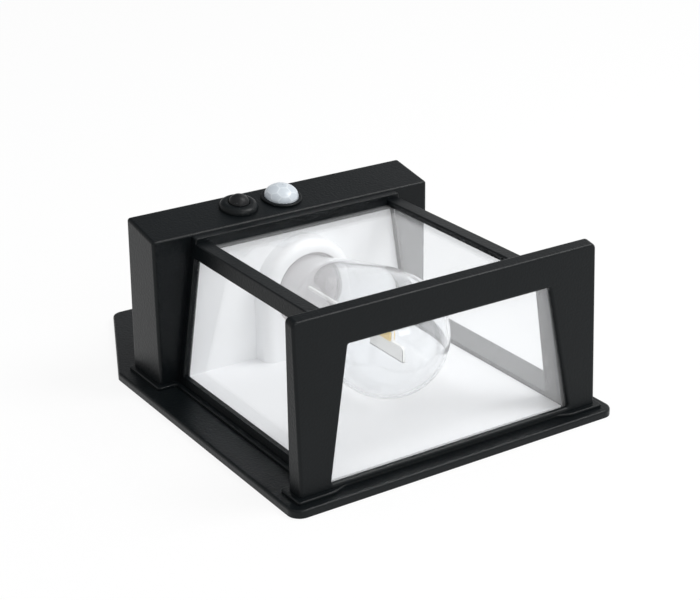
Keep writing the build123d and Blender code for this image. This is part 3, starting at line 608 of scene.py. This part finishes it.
outer = neck_line(0) + globe_line(0)
inner = neck_line(bulb_wall) + globe_line(bulb_wall)
wall_line = [Vector((p.x, lamp_axis_y, p.y)) for p in outer + inner[::-1] + outer[:1]]
bpy.ops.object.select_all(action="DESELECT")
bpy.ops.mesh.primitive_plane_add(size=seed_size, location=wall_line[0])
globe = bpy.context.object
globe.name = "bulb_glass"
bpy.ops.object.transform_apply(location=True, rotation=True, scale=True)
bpy.ops.object.mode_set(mode="EDIT")
bpy.ops.mesh.select_mode(type="VERT")
bpy.ops.mesh.select_all(action="SELECT")
bpy.ops.mesh.merge(type="CENTER")
for here, there in zip(wall_line, wall_line[1:]):
    bpy.ops.mesh.extrude_region_move(TRANSFORM_OT_translate={"value": there - here})
bpy.ops.mesh.select_all(action="SELECT")
bpy.ops.mesh.spin(steps=turn_steps, angle=2 * pi, center=(0, lamp_axis_y, 0), axis=(0, 0, 1))
bpy.ops.mesh.select_all(action="SELECT")
bpy.ops.mesh.remove_doubles(threshold=weld)
bpy.ops.mesh.normals_make_consistent(inside=False)
bpy.ops.object.mode_set(mode="OBJECT")
globe.data.materials.append(blown_acrylic)
bpy.ops.object.shade_smooth_by_angle(angle=wall_smooth)
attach(globe, "lamp")
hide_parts("bulb_globe")

# Clear cover: three walls and an end panel in one moulding of polystyrene, held between the rails,
# the ring and the lip of the end frame. A slight haze in the plastic lifts the black seen through it,
# and a low index keeps the view through the thin walls from shifting more than it really does.
clear_ps = clear_material(
    "clear_polystyrene_moulded", 45 * mm, 0.2 * mm, clarity=0.91, roughness=0.03, index=1.3
)
dress("clear_cover", clear_ps)

# Solar panel in the recess of the upper face: dark backing board, silicon cells with printed silver
# lines, and a clear resin cast over them. The cells look deep blue black under a glossy skin.
dress("solar_backing", black_abs)
cell_pitch, ribbon_width = 11.85 * mm, 1.1 * mm
finger_pitch, finger_width = 1.9 * mm, 0.22 * mm
crystal_size = 3 * mm
silicon, tree, output = new_material("silicon_cells_screen_printed")
place = add_node(tree, "ShaderNodeTexCoord")
spot = add_node(tree, "ShaderNodeSeparateXYZ", {0: place.outputs["Object"]})
# Fingers of about 0.1 mm are too fine to show, so they are drawn at 0.22 mm
across = add_node(tree, "ShaderNodeMath", {0: spot.outputs["X"], 1: cell_pitch / 2}, operation="PINGPONG")
ribbon = add_node(
    tree,
    "ShaderNodeMath",
    {0: across.outputs[0], 1: (cell_pitch - ribbon_width) / 2},
    operation="GREATER_THAN",
)
along = add_node(tree, "ShaderNodeMath", {0: spot.outputs["Y"], 1: finger_pitch / 2}, operation="PINGPONG")
finger = add_node(
    tree,
    "ShaderNodeMath",
    {0: along.outputs[0], 1: (finger_pitch - finger_width) / 2},
    operation="GREATER_THAN",
)
silver = add_node(
    tree, "ShaderNodeMath", {0: ribbon.outputs[0], 1: finger.outputs[0]}, operation="MAXIMUM"
)
crystal = add_node(
    tree, "ShaderNodeTexNoise", {"Vector": place.outputs["Object"], "Scale": 1 / crystal_size}
)
wafer = add_node(
    tree,
    "ShaderNodeMix",
    {"Factor": crystal.outputs["Fac"], 6: linear("#0c1020"), 7: linear("#161c33")},
    data_type="RGBA",
)
printed = add_node(
    tree,
    "ShaderNodeMix",
    {"Factor": silver.outputs[0], 6: wafer.outputs[2], 7: linear("#8f949c")},
    data_type="RGBA",
)
cells = add_node(tree, "ShaderNodeBsdfPrincipled", {"Base Color": printed.outputs[2], "Roughness": 0.3})
tree.links.new(cells.outputs[0], output.inputs["Surface"])
dress("solar_cells", silicon)
clear_resin = clear_material(
    "clear_epoxy_cast", 20 * mm, 0.3 * mm, clarity=1.0, roughness=0.05, index=1.5
)
dress("solar_cover", clear_resin)

# Motion sensor: black ring pressed into the outward face, milky lens dome clamped behind it, and a tin
# plated sensor can on the board inside. The dome is moulded in polyethylene as a set of small lenses,
# whose edges carry a painted highlight: a lighter copy of the cloudy white.
dress("pir_bezel", black_abs)
dress("pir_sensor", zinc_steel)
milky_pe = mottled_material(
    "milky_polyethylene_moulded", 2.5 * mm, ("#b9c1c8", "#c7ced4"), (0.24, 0.34), {"IOR": 1.51}
)
lens_edge_painted_highlight = mottled_material(
    "milky_polyethylene_painted_edge_highlight", 2.5 * mm, ("#c9d0d6", "#d6dce0"), (0.24, 0.34), {"IOR": 1.51}
)
outward = -Vector(frame["joints"][0]["axis"]).normalized()
upward = outward.cross(Vector((1, 0, 0)))
face_axes = Matrix(((1, 0, 0), upward, outward)).transposed().to_4x4()
# The dome's axis meets the outward face here, as in the CAD
control_spot = Vector((0, -60.375, -37.257)) * mm
bezel_rise = 1.0 * mm
dome_r, dome_crown, dome_wall, dome_flange = 6.4 * mm, 4.36 * mm, 0.6 * mm, 2.6 * mm
lens_edge, lens_round, cut_rise = 0.22 * mm, 0.75, 0.02 * mm
lens_cut_share, lens_levels, lens_smooth = 33.3, 3, radians(50)
bpy.ops.object.select_all(action="DESELECT")
bpy.ops.mesh.primitive_ico_sphere_add(subdivisions=1, radius=dome_r)
dome = bpy.context.object
dome.name = "sensor_lens_dome"
bpy.ops.object.mode_set(mode="EDIT")
bpy.ops.mesh.select_mode(type="VERT")
bpy.ops.mesh.select_all(action="SELECT")
bpy.ops.mesh.bevel(offset_type="PERCENT", offset_pct=lens_cut_share, affect="VERTICES")
bpy.ops.mesh.select_all(action="SELECT")
bpy.ops.mesh.inset(use_individual=True, thickness=lens_edge)
bpy.ops.object.mode_set(mode="OBJECT")
dome.data.materials.append(milky_pe)
dome.data.materials.append(lens_edge_painted_highlight)
# The rims round the lenses take the lighter copy of the material, a painted highlight on the edges
for facet in dome.data.polygons:
    facet.material_index = int(not facet.select)
apply_modifier(dome, "SUBSURF", subdivision_type="SIMPLE", levels=lens_levels, render_levels=lens_levels)
apply_modifier(dome, "CAST", cast_type="SPHERE", factor=lens_round)
moulded_r = max(point.co.length for point in dome.data.vertices)
dome.data.transform(Matrix.Scale(dome_r / moulded_r, 4))
bpy.ops.object.mode_set(mode="EDIT")
bpy.ops.mesh.select_all(action="SELECT")
bpy.ops.mesh.bisect(plane_co=(0, 0, cut_rise), plane_no=(0, 0, 1), clear_inner=True)
bpy.ops.mesh.select_all(action="SELECT")
bpy.ops.transform.resize(value=(1, 1, dome_crown / dome_r), center_override=(0, 0, 0))
select_only(dome, "EDGE", lambda edge: all(dome.data.vertices[i].co.z < cut_rise for i in edge.vertices))
bpy.ops.mesh.extrude_edges_move(TRANSFORM_OT_translate={"value": (0, 0, -(bezel_rise + dome_flange))})
bpy.ops.mesh.select_all(action="SELECT")
bpy.ops.mesh.normals_make_consistent(inside=False)
bpy.ops.object.mode_set(mode="OBJECT")
apply_modifier(dome, "SOLIDIFY", thickness=dome_wall, offset=-1.0)
place_mesh(dome, Matrix.Translation(control_spot + outward * bezel_rise) @ face_axes)
bpy.ops.object.shade_smooth_by_angle(angle=lens_smooth)
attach(dome, "lamp")
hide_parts("pir_lens")

# Push button: black ABS collar on the outward face and a soft rubber cap that slides through it onto
# the plunger of the switch on the board. The cap looks duller than the hard collar.
dress("button_collar", black_abs)
dress("button_cap", black_rubber)

# Circuit board and switch behind the outward face, screwed to two bosses: glass cloth under green
# solder resist, which shows its fine weave, and a black moulded switch.
green_resist = mottled_material(
    "green_solder_resist_on_glass_cloth", 0.5 * mm, ("#0f4426", "#16552f"), (0.3, 0.4), {"IOR": 1.52}
)
dress("circuit_board", green_resist)
dress("switch_body", black_abs)
dress("switch_plunger", black_abs)

# Battery in an open black holder on the platform, with a plated contact at each end.
# The cell wears a shrunk blue sleeve with a soft gloss.
blue_sleeve = mottled_material(
    "blue_pvc_sleeve_shrunk", 6 * mm, ("#1c4a86", "#22579b"), (0.25, 0.35), {"IOR": 1.53}
)
dress("battery_cell", blue_sleeve)
dress("battery_holder", black_abs)
dress("battery_contacts", zinc_steel)

bpy.ops.object.select_all(action="DESELECT")
